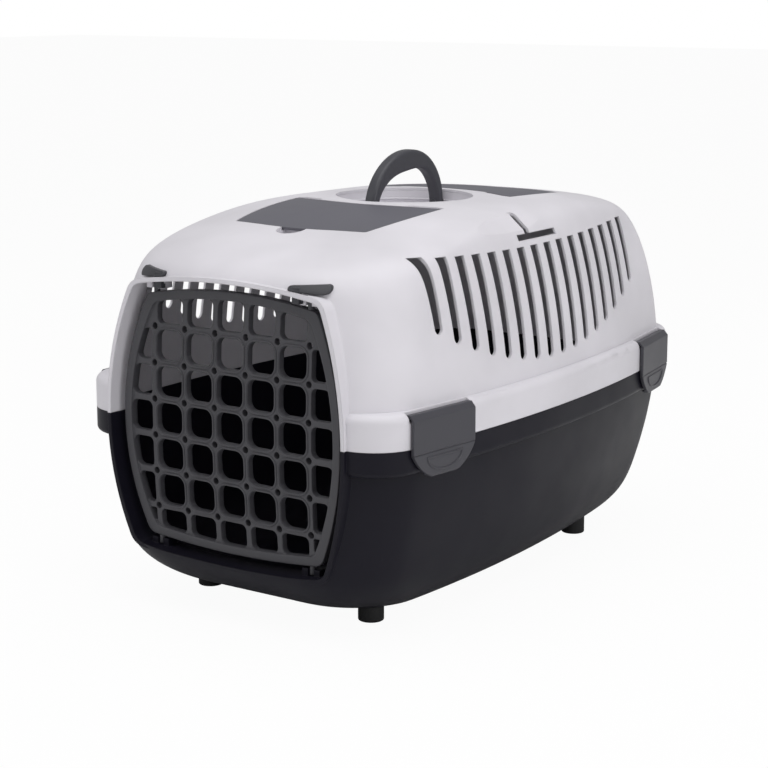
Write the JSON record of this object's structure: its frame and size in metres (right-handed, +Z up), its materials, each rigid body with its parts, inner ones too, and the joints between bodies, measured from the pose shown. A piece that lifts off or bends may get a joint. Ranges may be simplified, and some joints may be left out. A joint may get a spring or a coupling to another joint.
{
  "type": "pet carrier",
  "caption": "Rigid two-shell pet carrier with a swinging grille door, sliding door latches, side clips, an arched carrying handle and lidded storage bins in its roof.",
  "frame": {"origin": "on the ground under the middle of the carrier", "axes": "+Z up, the door faces -Y, +X to the right of someone who faces the same way as +Y"},
  "size_m": [0.3966, 0.61, 0.429],
  "materials": {
    "upper_plastic": "fine moulded grain, satin",
    "lower_plastic": "fine moulded grain, satin",
    "door_plastic": "smooth satin",
    "clip_plastic": "smooth satin",
    "latch_plastic": "smooth satin",
    "lid_plastic": "fine moulded grain, satin",
    "handle_plastic": "smooth satin",
    "foot_rubber": "matt",
    "pin_steel": "drawn wire"
  },
  "bodies": {
    "carrier": {"bottom_shell": "lower_plastic", "top_shell": "upper_plastic", "handle_well": "upper_plastic", "front_bin_tray": "upper_plastic", "rear_bin_tray": "upper_plastic", "latch_keeper_left": "upper_plastic", "latch_keeper_right": "upper_plastic", "clip_pin_front_left": "pin_steel", "clip_pin_front_right": "pin_steel", "clip_pin_rear_left": "pin_steel", "clip_pin_rear_right": "pin_steel", "handle_pin_front": "handle_plastic", "handle_pin_rear": "handle_plastic", "foot_front_left": "foot_rubber", "foot_front_right": "foot_rubber", "foot_rear_left": "foot_rubber", "foot_rear_right": "foot_rubber"},
    "door": {"door_grille": "door_plastic", "door_pins": "door_plastic"},
    "latch_left": {"door_latch_left": "latch_plastic"},
    "latch_right": {"door_latch_right": "latch_plastic"},
    "clip_front_left_body": {"clip_front_left": "clip_plastic"},
    "clip_front_right_body": {"clip_front_right": "clip_plastic"},
    "clip_rear_left_body": {"clip_rear_left": "clip_plastic"},
    "clip_rear_right_body": {"clip_rear_right": "clip_plastic"},
    "handle_body": {"handle": "handle_plastic"},
    "front_lid_body": {"front_lid": "lid_plastic"},
    "rear_lid_body": {"rear_lid": "lid_plastic"}
  },
  "joints": [
    {"name": "door_swing", "type": "hinge", "parent": "carrier", "child": "door", "pos_m": [-0.092, -0.2855, 0.189], "axis": [0, 0, -1], "range_deg": [0, 105]},
    {"name": "latch_left_slide", "type": "slide", "parent": "carrier", "child": "latch_left", "axis": [-1, 0, 0], "range_m": [0, 0.009]},
    {"name": "latch_right_slide", "type": "slide", "parent": "carrier", "child": "latch_right", "axis": [1, 0, 0], "range_m": [0, 0.009]},
    {"name": "clip_front_left_swing", "type": "hinge", "parent": "carrier", "child": "clip_front_left_body", "pos_m": [-0.18551, -0.22057, 0.217], "axis": [-0.0887, 0.9961, 0], "range_deg": [0, 85]},
    {"name": "clip_front_right_swing", "type": "hinge", "parent": "carrier", "child": "clip_front_right_body", "pos_m": [0.18551, -0.22057, 0.217], "axis": [-0.0887, -0.9961, 0], "range_deg": [0, 85]},
    {"name": "clip_rear_left_swing", "type": "hinge", "parent": "carrier", "child": "clip_rear_left_body", "pos_m": [-0.16351, 0.22008, 0.217], "axis": [0.1875, 0.9823, 0], "range_deg": [0, 85]},
    {"name": "clip_rear_right_swing", "type": "hinge", "parent": "carrier", "child": "clip_rear_right_body", "pos_m": [0.16351, 0.22008, 0.217], "axis": [0.1875, -0.9823, 0], "range_deg": [0, 85]},
    {"name": "handle_swing", "type": "hinge", "parent": "carrier", "child": "handle_body", "pos_m": [0, -0.009, 0.371], "axis": [0, 1, 0], "range_deg": [-85, 85]},
    {"name": "front_lid_swing", "type": "hinge", "parent": "carrier", "child": "front_lid_body", "pos_m": [0, -0.0732, 0.37773], "axis": [-1, 0, 0], "range_deg": [0, 80]},
    {"name": "rear_lid_swing", "type": "hinge", "parent": "carrier", "child": "rear_lid_body", "pos_m": [0, 0.0552, 0.37876], "axis": [1, 0, 0], "range_deg": [0, 80]}
  ]
}
